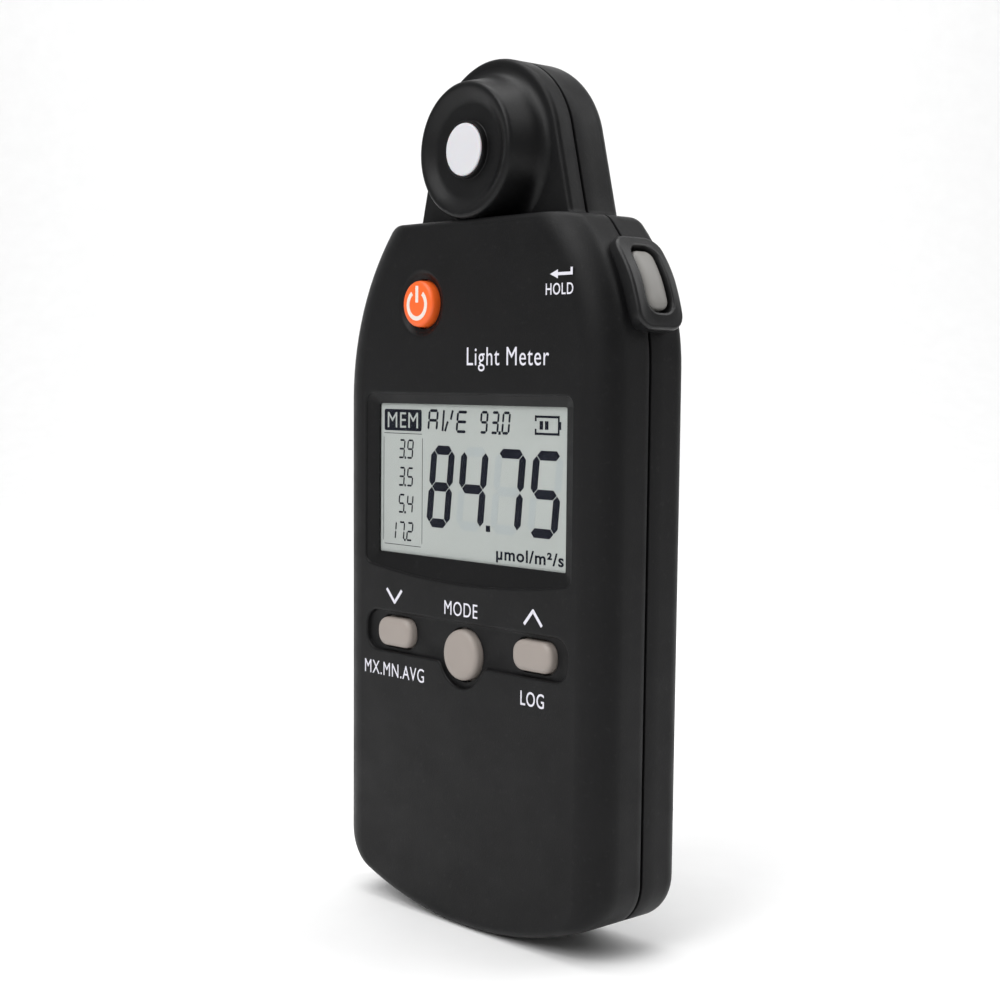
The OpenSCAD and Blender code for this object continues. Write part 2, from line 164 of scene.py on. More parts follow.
def head_path(inset, top):
    """The sensor head's outline, from its right foot on the case's top to its left foot."""
    r = HEAD_R - inset
    flare = radians(HEAD_FLARE)
    cheek = (r * cos(flare), HEAD_H + r * sin(flare))
    knee = cheek[0] + (cheek[1] - TOP_H + top) * tan(flare)
    reach = NECK_FILLET / tan(radians(90 + HEAD_FLARE) / 2)
    foot = arc((knee + reach, TOP_H - top + NECK_FILLET), NECK_FILLET, 270, 180 + HEAD_FLARE, 6)
    right = foot + along(foot[-1], cheek, 4)
    return right + arc((0, HEAD_H), r, HEAD_FLARE, 180 - HEAD_FLARE, 48) + mirrored(right)


FOOT = head_path(HEAD_ROUND, 0)[0][0]


def with_top(outline):
    """The case's outline closed along its flat top, which meets the head's feet."""
    right = (min(FOOT, outline[-1][0] - 0.1), outline[-1][1])
    left = (max(-FOOT, outline[0][0] + 0.1), outline[0][1])
    return outline + [right] + along(right, left, 8) + [left]


def quarter(distance, width, depth):
    """How far an elliptic round-over draws the outline in, at a distance from its face."""
    return width * (1 - sqrt(max(0, 1 - (max(0, depth - distance) / depth) ** 2)))


def key_recess(grow):
    """Outline of the sunk field of the three lower keys: a slot with a bulge for the round key."""
    low, high = KEY_FIELD_LOW - grow, KEY_FIELD_HIGH + grow
    half, corner = KEY_FIELD_HALF + grow, 2.6 + grow
    bulge, fillet = KEY_BULGE_R + grow, 1.5 - grow
    drop = MODE_H - low + fillet
    dx = sqrt((bulge + fillet) ** 2 - drop ** 2)
    lean = degrees(atan2(drop, dx))
    left_fillet = arc((-dx, low - fillet), fillet, 90, lean, 6)
    return (arc((half - corner, low + corner), corner, -90, 0, 8)
            + arc((half - corner, high - corner), corner, 0, 90, 8)
            + arc((corner - half, high - corner), corner, 90, 180, 8)
            + arc((corner - half, low + corner), corner, 180, 270, 8)
            + left_fillet[:-1] + arc((0, MODE_H), bulge, 180 + lean, 360 - lean, 24)
            + mirrored(left_fillet)[1:])


def belly(half, low, high, sag, corner):
    """A rectangle with rounded corners whose lower edge bulges down by sag."""
    r = (half ** 2 + sag ** 2) / (2 * sag)
    centre_h = low + r
    x = half - corner
    h = centre_h - sqrt((r - corner) ** 2 - x ** 2)
    lean = degrees(atan2(h - centre_h, x))
    right = arc((x, h), corner, lean, 0, 6)
    top = arc((x, high - corner), corner, 0, 90, 6)
    return right + top + mirrored(top) + mirrored(right) \
        + arc((0, centre_h), r, -180 - lean, lean, 16)[1:-1]


# ---- Mesh building ----

def encloses(loop, point):
    """Whether a closed loop goes round a point."""
    inside = False
    for (x0, h0), (x1, h1) in zip(loop, loop[1:] + loop[:1]):
        if (h0 > point[1]) != (h1 > point[1]):
            inside ^= point[0] < x0 + (point[1] - h0) / (h1 - h0) * (x1 - x0)
    return inside


class Shape:
    """Faces as lists of points. Points that meet are merged when it becomes an object."""

    def __init__(self):
        self.points, self.faces, self.slots = [], [], []

    def face(self, points, slot=0):
        first = len(self.points)
        self.points += points
        self.faces.append(range(first, first + len(points)))
        self.slots.append(slot)

    def loft(self, rows, slot=0):
        """Skins closed rings of points, each ring having the same number of points."""
        for a, b in zip(rows, rows[1:]):
            for i in range(len(a)):
                j = (i + 1) % len(a)
                self.face([a[i], a[j], b[j], b[i]], slot)

    def cap(self, depth, outer, holes=(), slot=0):
        """A flat face at one depth, inside a loop and outside any holes."""
        flat, edges = [], []
        for loop in [outer, *holes]:
            first = len(flat)
            flat += [Vector(p) for p in loop]
            edges += [(first + i, first + (i + 1) % len(loop)) for i in range(len(loop))]
        corners, _, faces, *_ = delaunay_2d_cdt(flat, edges, [], 1, 1e-6)
        for f in faces:
            centre = [sum(corners[i][k] for i in f) / len(f) for k in (0, 1)]
            if not any(encloses(hole, centre) for hole in holes):
                self.face([(corners[i].x, depth, corners[i].y) for i in f], slot)

    def turned(self, centre, profile, steps=64, slot=0):
        """A shape turned on an axis along the depth, from points of radius and depth."""
        rings = [[(x, depth, h) for x, h in circle(centre, max(r, 0.001), steps)]
                 for r, depth in profile]
        self.loft(rings, slot)

    def build(self, name, materials, body, *nodes, record_slot=None, sharp=35):
        mesh = bpy.data.meshes.new(name)
        mesh.from_pydata([place(p) for p in self.points], [], [list(f) for f in self.faces])
        mesh.polygons.foreach_set("material_index", self.slots)
        for m in materials:
            mesh.materials.append(m)
        work = bmesh.new()
        work.from_mesh(mesh)
        bmesh.ops.remove_doubles(work, verts=work.verts, dist=0.0025 * MM)
        bmesh.ops.dissolve_degenerate(work, edges=work.edges, dist=0.0005 * MM)
        bmesh.ops.recalc_face_normals(work, faces=work.faces)
        work.to_mesh(mesh)
        work.free()
        mesh.shade_smooth()
        mesh.set_sharp_from_angle(angle=radians(sharp))
        piece = bpy.data.objects.new(name, mesh)
        bpy.context.scene.collection.objects.link(piece)
        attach(piece, body)
        if nodes:
            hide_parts(*nodes)
        return piece


def level(outline, depth):
    """An outline of (x, height) as points at one depth."""
    return [(x, depth, h) for x, h in outline]


def steps_of(outline_of, rows):
    """Rings from (amount, depth) rows, each passed through a function of the amount."""
    return [level(outline_of(amount), depth) for amount, depth in rows]


def lip_rows(depth=0.0, size=LIP):
    """A small round-over at the edge of a sunk place: outline growth and depth."""
    return [(size * (1 - sin(radians(a))), depth + size * (1 - cos(radians(a))))
            for a in (0, 30, 60, 90)]


# ---- Materials ----

def material(name, colour, roughness, metallic=0.0, grain=0.0, grain_size=0.3, mottle=0.06,
             dust=0.0, specular=0.5, alpha=1.0, subsurface=0.0):
    """A procedural surface: mottled colour, uneven roughness, moulded grain and a little dust.
    Grain is its height in millimetres and grain_size its width."""
    made = bpy.data.materials.new(name)
    made.use_nodes = True
    nodes, links = made.node_tree.nodes, made.node_tree.links
    shader = nodes["Principled BSDF"]
    shader.inputs["Metallic"].default_value = metallic
    shader.inputs["Specular IOR Level"].default_value = specular
    shader.inputs["Alpha"].default_value = alpha
    shader.inputs["Subsurface Weight"].default_value = subsurface
    shader.inputs["Subsurface Scale"].default_value = 0.001
    where = nodes.new("ShaderNodeTexCoord")

    def noise(width_mm, detail):
        made_noise = nodes.new("ShaderNodeTexNoise")
        made_noise.inputs["Scale"].default_value = 1 / (width_mm * MM)
        made_noise.inputs["Detail"].default_value = detail
        links.new(where.outputs["Object"], made_noise.inputs["Vector"])
        return made_noise.outputs["Fac"]

    def ranged(value, low, high, start=0.3, end=0.7):
        span = nodes.new("ShaderNodeMapRange")
        for key, number in (("From Min", start), ("From Max", end), ("To Min", low),
                            ("To Max", high)):
            span.inputs[key].default_value = number
        links.new(value, span.inputs["Value"])
        return span.outputs["Result"]

    def mixed(factor, first, second):
        mix = nodes.new("ShaderNodeMix")
        mix.data_type = "RGBA"
        links.new(factor, mix.inputs["Factor"])
        for socket, value in ((mix.inputs[6], first), (mix.inputs[7], second)):
            if isinstance(value, bpy.types.NodeSocket):
                links.new(value, socket)
            else:
                socket.default_value = (*value, 1)
        return mix.outputs[2]

    cloud = noise(14, 4)
    low = tuple(c * (1 - mottle) for c in colour)
    high = tuple(min(1, c * (1 + mottle)) for c in colour)
    tint = mixed(ranged(cloud, 0, 1), low, high)
    rough = ranged(noise(5, 5), max(0.02, roughness - 0.05), min(1, roughness + 0.06))
    if dust:
        specks = ranged(noise(0.9, 6), 0, dust, 0.6, 0.78)
        pale = tuple(c + (0.45 - c) * 0.5 for c in colour)
        tint = mixed(specks, tint, pale)
    links.new(tint, shader.inputs["Base Color"])
    links.new(rough, shader.inputs["Roughness"])
    if grain:
        bump = nodes.new("ShaderNodeBump")
        bump.inputs["Distance"].default_value = grain * MM
        links.new(noise(grain_size, 3), bump.inputs["Height"])
        links.new(bump.outputs["Normal"], shader.inputs["Normal"])
    return made


CASE = material("case_plastic", (0.0042, 0.0042, 0.0046), 0.46, grain=0.02, grain_size=0.25,
                mottle=0.1, dust=0.02, specular=0.2)
REAR = material("rear_plastic", (0.0042, 0.0042, 0.0046), 0.46, grain=0.022, grain_size=0.25,
                mottle=0.1, dust=0.03, specular=0.2)
COLLAR = material("collar_plastic", (0.0038, 0.0038, 0.0042), 0.4, grain=0.012, grain_size=0.3,
                  mottle=0.1, dust=0.02, specular=0.25)
POD = material("side_frame_plastic", (0.0045, 0.0045, 0.005), 0.38, grain=0.015,
               grain_size=0.25, mottle=0.1, dust=0.03, specular=0.4)
DIFFUSER = material("diffuser_white", (0.64, 0.64, 0.67), 0.5, grain=0.004, mottle=0.012,
                    subsurface=0.2)
KEY = material("key_grey", (0.31, 0.272, 0.246), 0.5, grain=0.008, grain_size=0.3, mottle=0.05,
               dust=0.02)
SIDE_KEY = material("side_key_grey", (0.24, 0.232, 0.22), 0.45, grain=0.008, mottle=0.05,
                    dust=0.02)
ORANGE = material("key_orange", (0.92, 0.13, 0.016), 0.4, grain=0.006, mottle=0.05, dust=0.02)
SYMBOL = material("symbol_ink", (0.78, 0.70, 0.64), 0.5, grain=0.002, mottle=0.03)
PRINT = material("white_print", (0.72, 0.71, 0.78), 0.5, grain=0.002, mottle=0.04)
PANEL = material("display_pale", (0.46, 0.49, 0.47), 0.45, grain=0.001, mottle=0.03,
                 specular=0.2)
SEGMENT = material("display_dark", (0.008, 0.009, 0.016), 0.5, grain=0.001, mottle=0.08,
                   specular=0.06)
GHOST = material("display_ghost", (0.41, 0.45, 0.45), 0.35, grain=0.001, mottle=0.03)
WINDOW = material("window_clear", (0.05, 0.055, 0.06), 0.06, grain=0.001, grain_size=1.5,
                  mottle=0.02, alpha=0.04, specular=0.3)
BLACK = material("black_plastic", (0.012, 0.012, 0.012), 0.5, grain=0.01, mottle=0.12)


# ---- Front shell ----

GLASS_HALF = extent("display_window")[1][0]
GLASS_LOW, GLASS_HIGH = extent("display_window")[0][2], extent("display_window")[1][2]
GLASS_D = extent("display_window")[0][1]
MODE_H = middle("mode_button")[2]
OVAL_X, OVAL_H = middle("up_button")[0], middle("up_button")[2]
POWER = (middle("power_button")[0], middle("power_button")[2])
OVAL_HALF_W, OVAL_HALF_H, OVAL_R = 4.3, 2.4, 2.1
MODE_R, POWER_R = 4.1, 3.75
FLANGE = 0.9                                  # the keys' flange behind the front wall
FLANGE_D = (2.05, 2.5)
KEY_FIELD_LOW, KEY_FIELD_HIGH, KEY_FIELD_HALF = 42.9, 49.6, 24.0
KEY_FIELD_D, KEY_BULGE_R = 0.8, 5.35
DISH_R, DISH_D = 5.1, 0.7                     # the dish round the power key
DISH_RIM = DISH_R + 0.45
HOLE_GAP = 0.3
SENSOR = (0, HEAD_H)
COLLAR_HOLE_R = 10.4


def display_lip(grow):
    return belly(24.45 + grow, 55.75 - grow, 86.0 + grow, 1.9, 1.5 + grow)


def oval(x, grow):
    return round_rect(OVAL_HALF_W + grow, OVAL_HALF_H + grow, OVAL_R + grow, (x, OVAL_H))


def front_outline(inset, depth):
    """The case's outline on the front side at a depth, with the extra inset given."""
    return case_sides(inset + quarter(depth, SIDE_ROUND, SIDE_ROUND_D),
                      inset + quarter(depth, TOP_ROUND, TOP_ROUND),
                      inset + quarter(depth, LOW_ROUND, LOW_ROUND_D))


def front_shell():
    shape = Shape()
    turn = [SIDE_ROUND_D * (1 - sin(radians(a))) for a in range(90, -1, -9)]
    outer = [level(with_top(front_outline(0, d)), d) for d in turn + [HEAD_D]]
    guard = with_top(front_outline(GUARD, 0))
    shape.loft([level(guard, 0)] + outer)
    edge = SEAM - SEAM_GAP
    neck = [(quarter(k, HEAD_ROUND, HEAD_ROUND), HEAD_D + k) for k in (0, 0.08, 0.25, 0.5, 0.8)]
    neck += [(0, 8.2), (0, edge - 0.12), (0.04, edge - 0.04), (0.14, edge)]
    rows = []
    for inset, depth in neck:
        case_inset = inset if depth > HEAD_D + HEAD_ROUND else 0
        rows.append(level(case_sides(*[case_inset] * 3) + head_path(inset, case_inset), depth))
    tongue = SEAM + SEAM_GAP - 0.03
    for inset, depth in ((0.85, edge), (0.85, tongue), (WALL, tongue), (WALL, HEAD_D + WALL)):
        rows.append(level(case_sides(inset, inset, inset) + head_path(inset, inset), depth))
    shape.loft(rows)
    # The head's front face, a hole for the sensor, and the face behind it
    hole = circle(SENSOR, COLLAR_HOLE_R)
    face = head_path(HEAD_ROUND, 0)
    shape.cap(HEAD_D, face + along(face[-1], face[0], 8), [hole])
    inner_d = HEAD_D + WALL
    inner_head = head_path(WALL, WALL)
    bridge = along(inner_head[-1], inner_head[0], 8)
    shape.cap(inner_d, inner_head + bridge, [hole])
    shape.loft([level(hole, HEAD_D), level(hole, inner_d)])
    # Inside of the case's front, which has a straight top between the head's feet
    inner_case = (case_sides(WALL, WALL, WALL) + [inner_head[0]] + bridge[::-1]
                  + [inner_head[-1]])
    shape.loft([level(inner_case, inner_d), level(inner_case, WALL)])
    # Sunk places on the front
    window = belly(GLASS_HALF + 0.02, GLASS_LOW - 0.02, GLASS_HIGH + 0.02, 0.02, 0.3)
    display = steps_of(display_lip, [(LIP + GUARD, 0)] + lip_rows())
    shape.loft(display + [level(window, GLASS_D), level(window, WALL)])
    field = steps_of(key_recess, [(LIP + GUARD, 0)] + lip_rows(size=0.3)
                     + [(-0.04, KEY_FIELD_D - 0.2), (-0.1, KEY_FIELD_D - 0.06),
                        (-0.25, KEY_FIELD_D)])
    shape.loft(field)
    holes = [lambda g: oval(-OVAL_X, g), lambda g: circle((0, MODE_H), MODE_R + g),
             lambda g: oval(OVAL_X, g)]
    for outline in holes:
        shape.loft(steps_of(outline, [(HOLE_GAP + 0.1, KEY_FIELD_D), (HOLE_GAP, KEY_FIELD_D + 0.1),
                                      (HOLE_GAP, WALL)]))
    shape.cap(KEY_FIELD_D, key_recess(-0.25), [outline(HOLE_GAP + 0.1) for outline in holes])
    power = circle(POWER, POWER_R + HOLE_GAP)
    dish = [(DISH_RIM + GUARD, 0), (DISH_RIM, 0), (DISH_R + 0.2, 0.05), (DISH_R, 0.17),
            (DISH_R - 0.3, 0.45), (DISH_R - 0.65, 0.65), (POWER_R + HOLE_GAP, DISH_D),
            (POWER_R + HOLE_GAP, WALL)]
    shape.turned(POWER, dish, 48)
    front_holes = [display_lip(LIP + GUARD), key_recess(LIP + GUARD),
                   circle(POWER, DISH_RIM + GUARD)]
    shape.cap(0, guard, front_holes)
    back_holes = [window, power] + [outline(HOLE_GAP) for outline in holes]
    shape.cap(WALL, inner_case, back_holes)
    return shape.build("front_case", [CASE], "housing", "front_shell",
                       record_slot="case_plastic", sharp=38)


# ---- Rear shell ----

BAY_LOW, BAY_HIGH, BAY_HALF = 11.0, 60.0, 16.8
BAY_FLOOR, BAY_FLOOR_T, BAY_WALL = 5.7, 0.8, 1.5
PAD_LOW, PAD_HIGH, PAD_HALF = 7.2, 64.0, 21.0    # thicker wall round the opening, inside
PAD_D = DEPTH - 3
DOOR_HALF = 18.2
DOOR_HIGH = extent("battery_door")[1][2]
DOOR_T = 1.2
DOOR_GAP = 0.25
PIVOT_D, PIVOT_H, BARREL_R, PIN_R, PIN_L = 17.25, 10.65, 0.95, 0.6, 1.4
GROOVE_R = 1.3
NOTCH_R, NOTCH_D = 6.0, 0.65                     # the finger notch above the cover
SCREWS = [(x, h) for h in (90, 22) for x in (-26.6, 26.6)]
SCREW_SEAT_D = 12.2
COUNTERBORE_R, COUNTERBORE_FOOT = 2.5, 2.3
BOSS_R, SCREW_HOLE_R = 3.3, 1.5
CHAMFER = 0.15


def door_opening(grow, low):
    """The battery opening, with the finger notch's half circle above it."""
    half, high = DOOR_HALF + DOOR_GAP + grow, DOOR_HIGH + DOOR_GAP + grow
    r = NOTCH_R + grow
    corner = 1.0
    lean = degrees(atan2(DOOR_GAP, NOTCH_R))
    top = arc((half - corner, high - corner), corner, 0, 90, 5)
    return ([(half, low)] + top + arc((0, DOOR_HIGH), r, lean, 180 - lean, 20)
            + mirrored(top) + [(-half, low)])


def straight_opening(low):
    """The same opening with the notch's points laid on its upper edge."""
    high = DOOR_HIGH + DOOR_GAP
    return [(x, high if abs(x) < NOTCH_R else h) for x, h in door_opening(0, low)]


def bay_ring(half, low, high):
    """A rectangle with as many points as the opening."""
    count = len(door_opening(0, 0))
    top = [(half - 2 * half * i / (count - 3), high) for i in range(count - 2)]
    return [(half, low)] + top + [(-half, low)]


def rear_shell():
    shape = Shape()
    start = SEAM + SEAM_GAP
    rows = [(0.85, start), (0.14, start), (0.04, start + 0.04), (0, start + 0.12), (0, 12.5)]
    rings = [level(case_sides(i, i, i) + head_path(i, i), d) for i, d in rows]
    turn = [DEPTH - HEAD_BACK_ROUND, DEPTH - HEAD_BACK_ROUND + 0.25]
    turn += [DEPTH - BACK_ROUND * (1 - sin(radians(a))) for a in range(0, 91, 9)]
    for d in turn:
        i = quarter(DEPTH - d, BACK_ROUND, BACK_ROUND)
        head = quarter(DEPTH - d, HEAD_BACK_ROUND, HEAD_BACK_ROUND)
        rings.append(level(case_sides(i, i, i) + head_path(head, i), d))
    i, head = BACK_ROUND + GUARD, HEAD_BACK_ROUND + GUARD
    guard = case_sides(i, i, i) + head_path(head, i)
    shape.loft(rings + [level(guard, DEPTH)])
    inner = case_sides(WALL, WALL, WALL) + head_path(WALL, WALL)
    inner_d = DEPTH - WALL
    shape.loft([rings[0], level(inner, start), level(inner, inner_d)])
    # Battery opening, its notch, the ledge under the door and the groove of its pivot
    groove_low = PIVOT_H - sqrt(GROOVE_R ** 2 - (DEPTH - PIVOT_D) ** 2)
    ledge = DEPTH - DOOR_T - 0.1
    rim = door_opening(CHAMFER + GUARD, groove_low - CHAMFER - GUARD)
    opening = [level(rim, DEPTH), level(door_opening(CHAMFER, groove_low - CHAMFER), DEPTH),
               level(door_opening(0, groove_low), DEPTH - CHAMFER),
               level(door_opening(0, groove_low), DEPTH - NOTCH_D),
               level(straight_opening(groove_low), DEPTH - NOTCH_D)]
    for a in range(0, 91, 15):
        low = PIVOT_H - GROOVE_R * cos(radians(a))
        depth = min(DEPTH - NOTCH_D - 0.05, PIVOT_D) - GROOVE_R * sin(radians(a)) * 0.98
        ring = level(straight_opening(low), max(depth, ledge))
        ring[0] = (ring[0][0], depth, low)
        ring[-1] = (ring[-1][0], depth, low)
        opening.append(ring)
    bottom = PIVOT_D - GROOVE_R
    bay = bay_ring(BAY_HALF, BAY_LOW, BAY_HIGH)
    seat = level(bay, ledge)
    seat[0], seat[-1] = (BAY_HALF, bottom, BAY_LOW), (-BAY_HALF, bottom, BAY_LOW)
    bay_inside = BAY_FLOOR + BAY_FLOOR_T
    shape.loft(opening + [seat, level(bay, bay_inside)])
    shape.cap(bay_inside, bay)
    # Screw counterbores, and the bosses under them
    for spot in SCREWS:
        shape.turned(spot, [(COUNTERBORE_R + CHAMFER + GUARD, DEPTH),
                            (COUNTERBORE_R + CHAMFER, DEPTH), (COUNTERBORE_R, DEPTH - CHAMFER),
                            (COUNTERBORE_FOOT, inner_d)], 40)
        boss_top = inner_d - 0.02
        shape.turned(spot, [(COUNTERBORE_FOOT, boss_top), (COUNTERBORE_FOOT, SCREW_SEAT_D),
                            (SCREW_HOLE_R, SCREW_SEAT_D), (SCREW_HOLE_R, start),
                            (BOSS_R, start), (BOSS_R, boss_top), (COUNTERBORE_FOOT, boss_top)],
                     40)
    shape.cap(DEPTH, guard, [rim] + [circle(s, COUNTERBORE_R + CHAMFER + GUARD, 40)
                                     for s in SCREWS])
    # Inside: the pad behind the opening and the bay's box
    pad = round_rect(PAD_HALF, (PAD_HIGH - PAD_LOW) / 2, 0.5, (0, (PAD_LOW + PAD_HIGH) / 2), 2)
    box = round_rect(BAY_HALF + BAY_WALL, (BAY_HIGH - BAY_LOW) / 2 + BAY_WALL, 0.4,
                     (0, (BAY_LOW + BAY_HIGH) / 2), 2)
    shape.cap(inner_d, inner, [pad] + [circle(s, COUNTERBORE_FOOT, 40) for s in SCREWS])
    shape.loft([level(pad, inner_d), level(pad, PAD_D)])
    shape.cap(PAD_D, pad, [box])
    shape.loft([level(box, PAD_D), level(box, BAY_FLOOR)])
    shape.cap(BAY_FLOOR, box)
    return shape.build("rear_case", [REAR], "housing", "rear_shell",
                       record_slot="case_plastic", sharp=38)


# ---- Battery door ----

def battery_door():
    shape = Shape()

    def outline(inset):
        high = DOOR_HIGH - inset
        half = DOOR_HALF - inset
        top = arc((half - 0.9, high - 0.9), 0.9, 0, 90, 5)
        return [(half, PIVOT_H)] + top + mirrored(top) + [(-half, PIVOT_H)]

    edge = [(0, DEPTH - DOOR_T), (0, DEPTH - 0.18), (0.05, DEPTH - 0.06), (0.17, DEPTH)]
    crown = edge[-1][0] + GUARD
    shape.loft([level(outline(i), d) for i, d in edge + [(crown, DEPTH)]])
    grips = []
    for i in range(4):
        half, place_h = 6 - 0.8 * i, DOOR_HIGH - 4.2 - 1.7 * i
        grips.append(round_rect(half, 0.42, 0.38, (0, place_h), 4))
        floor = round_rect(half - 0.15, 0.28, 0.25, (0, place_h), 4)
        shape.loft([level(grips[-1], DEPTH), level(floor, DEPTH - 0.4)])
        shape.cap(DEPTH - 0.4, floor)
    shape.cap(DEPTH, outline(crown), grips)
    shape.cap(DEPTH - DOOR_T, outline(0))
    shape.face([(DOOR_HALF - i, d, PIVOT_H) for i, d in edge]
               + [(i - DOOR_HALF, d, PIVOT_H) for i, d in reversed(edge)])

    def bar(radius, half, chamfer):
        rings = []
        for x, r in ((-half, radius - chamfer), (-half + chamfer, radius),
                     (half - chamfer, radius), (half, radius - chamfer)):
            rings.append([(x, PIVOT_D + r * cos(radians(a)), PIVOT_H + r * sin(radians(a)))
                          for a in range(0, 360, 15)])
        shape.loft(rings)
        shape.face(rings[0])
        shape.face(rings[-1])

    bar(BARREL_R, DOOR_HALF, 0.1)
    bar(PIN_R, DOOR_HALF + PIN_L, 0.15)
    return shape.build("battery_cover_skin", [REAR], "battery_cover", "battery_door",
                       record_slot="case_plastic", sharp=38)


# ---- Sensor ----

def sensor():
    collar = Shape()
    ring = [(4.16, 2.4), (4.16, -0.15), (4.22, -0.22), (4.32, -0.25), (4.45, -0.22),
            (4.52, -0.12), (4.56, 0.7), (4.65, 0.8)]
    disc = [(7.1, 0.8), (7.5, 0.75), (8.0, 0.55), (8.6, 0.2), (9.2, -0.1), (9.6, -0.24)]
    rim = [(9.9, -0.3), (10.17, -0.28), (10.43, -0.15), (10.61, 0.08), (10.7, 0.4)]
    cone = [(10.84, 1.0), (11.12, 2.2), (11.4, 3.4), (11.64, 4.4)]
    base = [(11.85, 4.95), (12.15, 5.4), (12.6, 5.75), (13.15, 5.92), (13.4, 5.95)]
    under = [(13.4, 6.0), (10.3, 6.0), (10.3, 8.5), (9, 8.5), (9, 2.4), (4.16, 2.4)]
    collar.turned(SENSOR, ring + disc + rim + cone + base + under, 96)
    collar.build("sensor_collar_skin", [COLLAR], "housing", "sensor_collar",
                 record_slot="collar_plastic")
    dome = Shape()
    dome.turned(SENSOR, [(0, -0.4), (3.2, -0.4), (3.85, -0.39), (3.98, -0.36), (4.06, -0.28),
                         (4.1, -0.16), (4.1, 2.45), (6.5, 2.45), (6.5, 3.4), (0, 3.4)], 72)
    dome.build("diffuser_dome", [DIFFUSER], "housing", "diffuser", record_slot="diffuser_white")


# ---- Keys ----

def moulded_key(name, outline, face, reach, body, node):
    """A key with a rounded edge over a flange, from its outline as a function of growth. Reach
    is how far the round-over and the slight crown run in from the edge."""
    shape = Shape()
    shape.loft(steps_of(outline, [
        (-reach, face + 0.02), (-0.75, face + 0.05), (-0.42, face + 0.16), (-0.18, face + 0.36),
        (-0.05, face + 0.62), (0, face + 0.9), (0, FLANGE_D[0]), (FLANGE, FLANGE_D[0]),
        (FLANGE, FLANGE_D[1])]))
    shape.cap(face + 0.02, outline(-reach))
    shape.cap(FLANGE_D[1], outline(FLANGE))
    return shape.build(name, [KEY], body, node, record_slot="key_grey")


def keys():
    key_face = extent("mode_button")[0][1]
    moulded_key("mode_cap", lambda g: circle((0, MODE_H), MODE_R + g), key_face, 1.76,
                "mode_key", "mode_button")
    for name, x in (("down", -OVAL_X), ("up", OVAL_X)):
        moulded_key(f"{name}_cap", lambda g: round_rect(
            OVAL_HALF_W + g, OVAL_HALF_H + g, max(OVAL_R + g, 0.3), (x, OVAL_H)), key_face, 1.52,
            f"{name}_key", f"{name}_button")
    face = extent("power_button")[0][1] + 0.04
    shape = Shape()
    shape.turned(POWER, [(0, face), (POWER_R - 0.7, face), (POWER_R - 0.45, face + 0.05),
                         (POWER_R - 0.2, face + 0.2), (POWER_R - 0.05, face + 0.45),
                         (POWER_R, face + 0.8), (POWER_R, FLANGE_D[0]),
                         (POWER_R + FLANGE, FLANGE_D[0]), (POWER_R + FLANGE, FLANGE_D[1]),
                         (0, FLANGE_D[1])], 64)
    # The power symbol: an open ring and a bar, a hair proud of the face
    foot, proud = face + 0.02, face - 0.03
    section = [(1.85, foot), (1.85, proud), (2.55, proud), (2.55, foot)]
    ring = [[(POWER[0] + r * cos(radians(a)), d, POWER[1] - 0.15 + r * sin(radians(a)))
             for r, d in section] for a in range(123, 418, 5)]
    shape.loft(ring, 1)
    shape.face(ring[0], 1)
    shape.face(ring[-1], 1)
    bar = round_rect(0.34, 1.35, 0.1, (POWER[0], POWER[1] + 1.55), 3)
    print_flat(shape, bar, foot, foot - proud, 1)
    shape.build("power_cap", [ORANGE, SYMBOL], "power_key", "power_button",
                record_slot="key_orange")


# ---- Side key ----

POD_OUT = 36.0
POD_D = (5.5, 15.3)
POD_A = (9.0, 34.3)
POD_CORNER = 2.7
OPENING_D = (7.7, 13.4)
OPENING_A = (13.2, 31.0)
SIDE_GAP = 0.5
WINDOW_CORNER, CAP_CORNER = 2.1, 1.6
CAP_DROP = 0.2          # how far the key's face lies under the frame's
PLUNGER_R = 30.75       # where the side key's back ends, on its plunger


def on_shoulder(depth, angle, radius):
    return (SHOULDER[0] + radius * cos(radians(angle)), depth,
            SHOULDER[1] + radius * sin(radians(angle)))


def side_ring(depths, angles, grow, corner, radius):
    """A rounded rectangle laid on the right shoulder. Radius may be a function of the angle."""
    scale = pi / 180 * POD_OUT
    half_d, half_s = (depths[1] - depths[0]) / 2 + grow, (angles[1] - angles[0]) / 2 * scale + grow
    centre = ((depths[0] + depths[1]) / 2, (angles[0] + angles[1]) / 2 * scale)
    radius_of = radius if callable(radius) else lambda a: radius
    return [on_shoulder(d, s / scale, radius_of(s / scale))
            for d, s in round_rect(half_d, half_s, max(corner + grow, 0.2), centre, 6, (4, 12))]


def pod_surface(drop):
    """The pod's outer face, thinner towards its upper end, lowered by drop."""
    return lambda a: POD_OUT - drop - 0.9 * max(0, (a - 21) / 14) ** 1.6


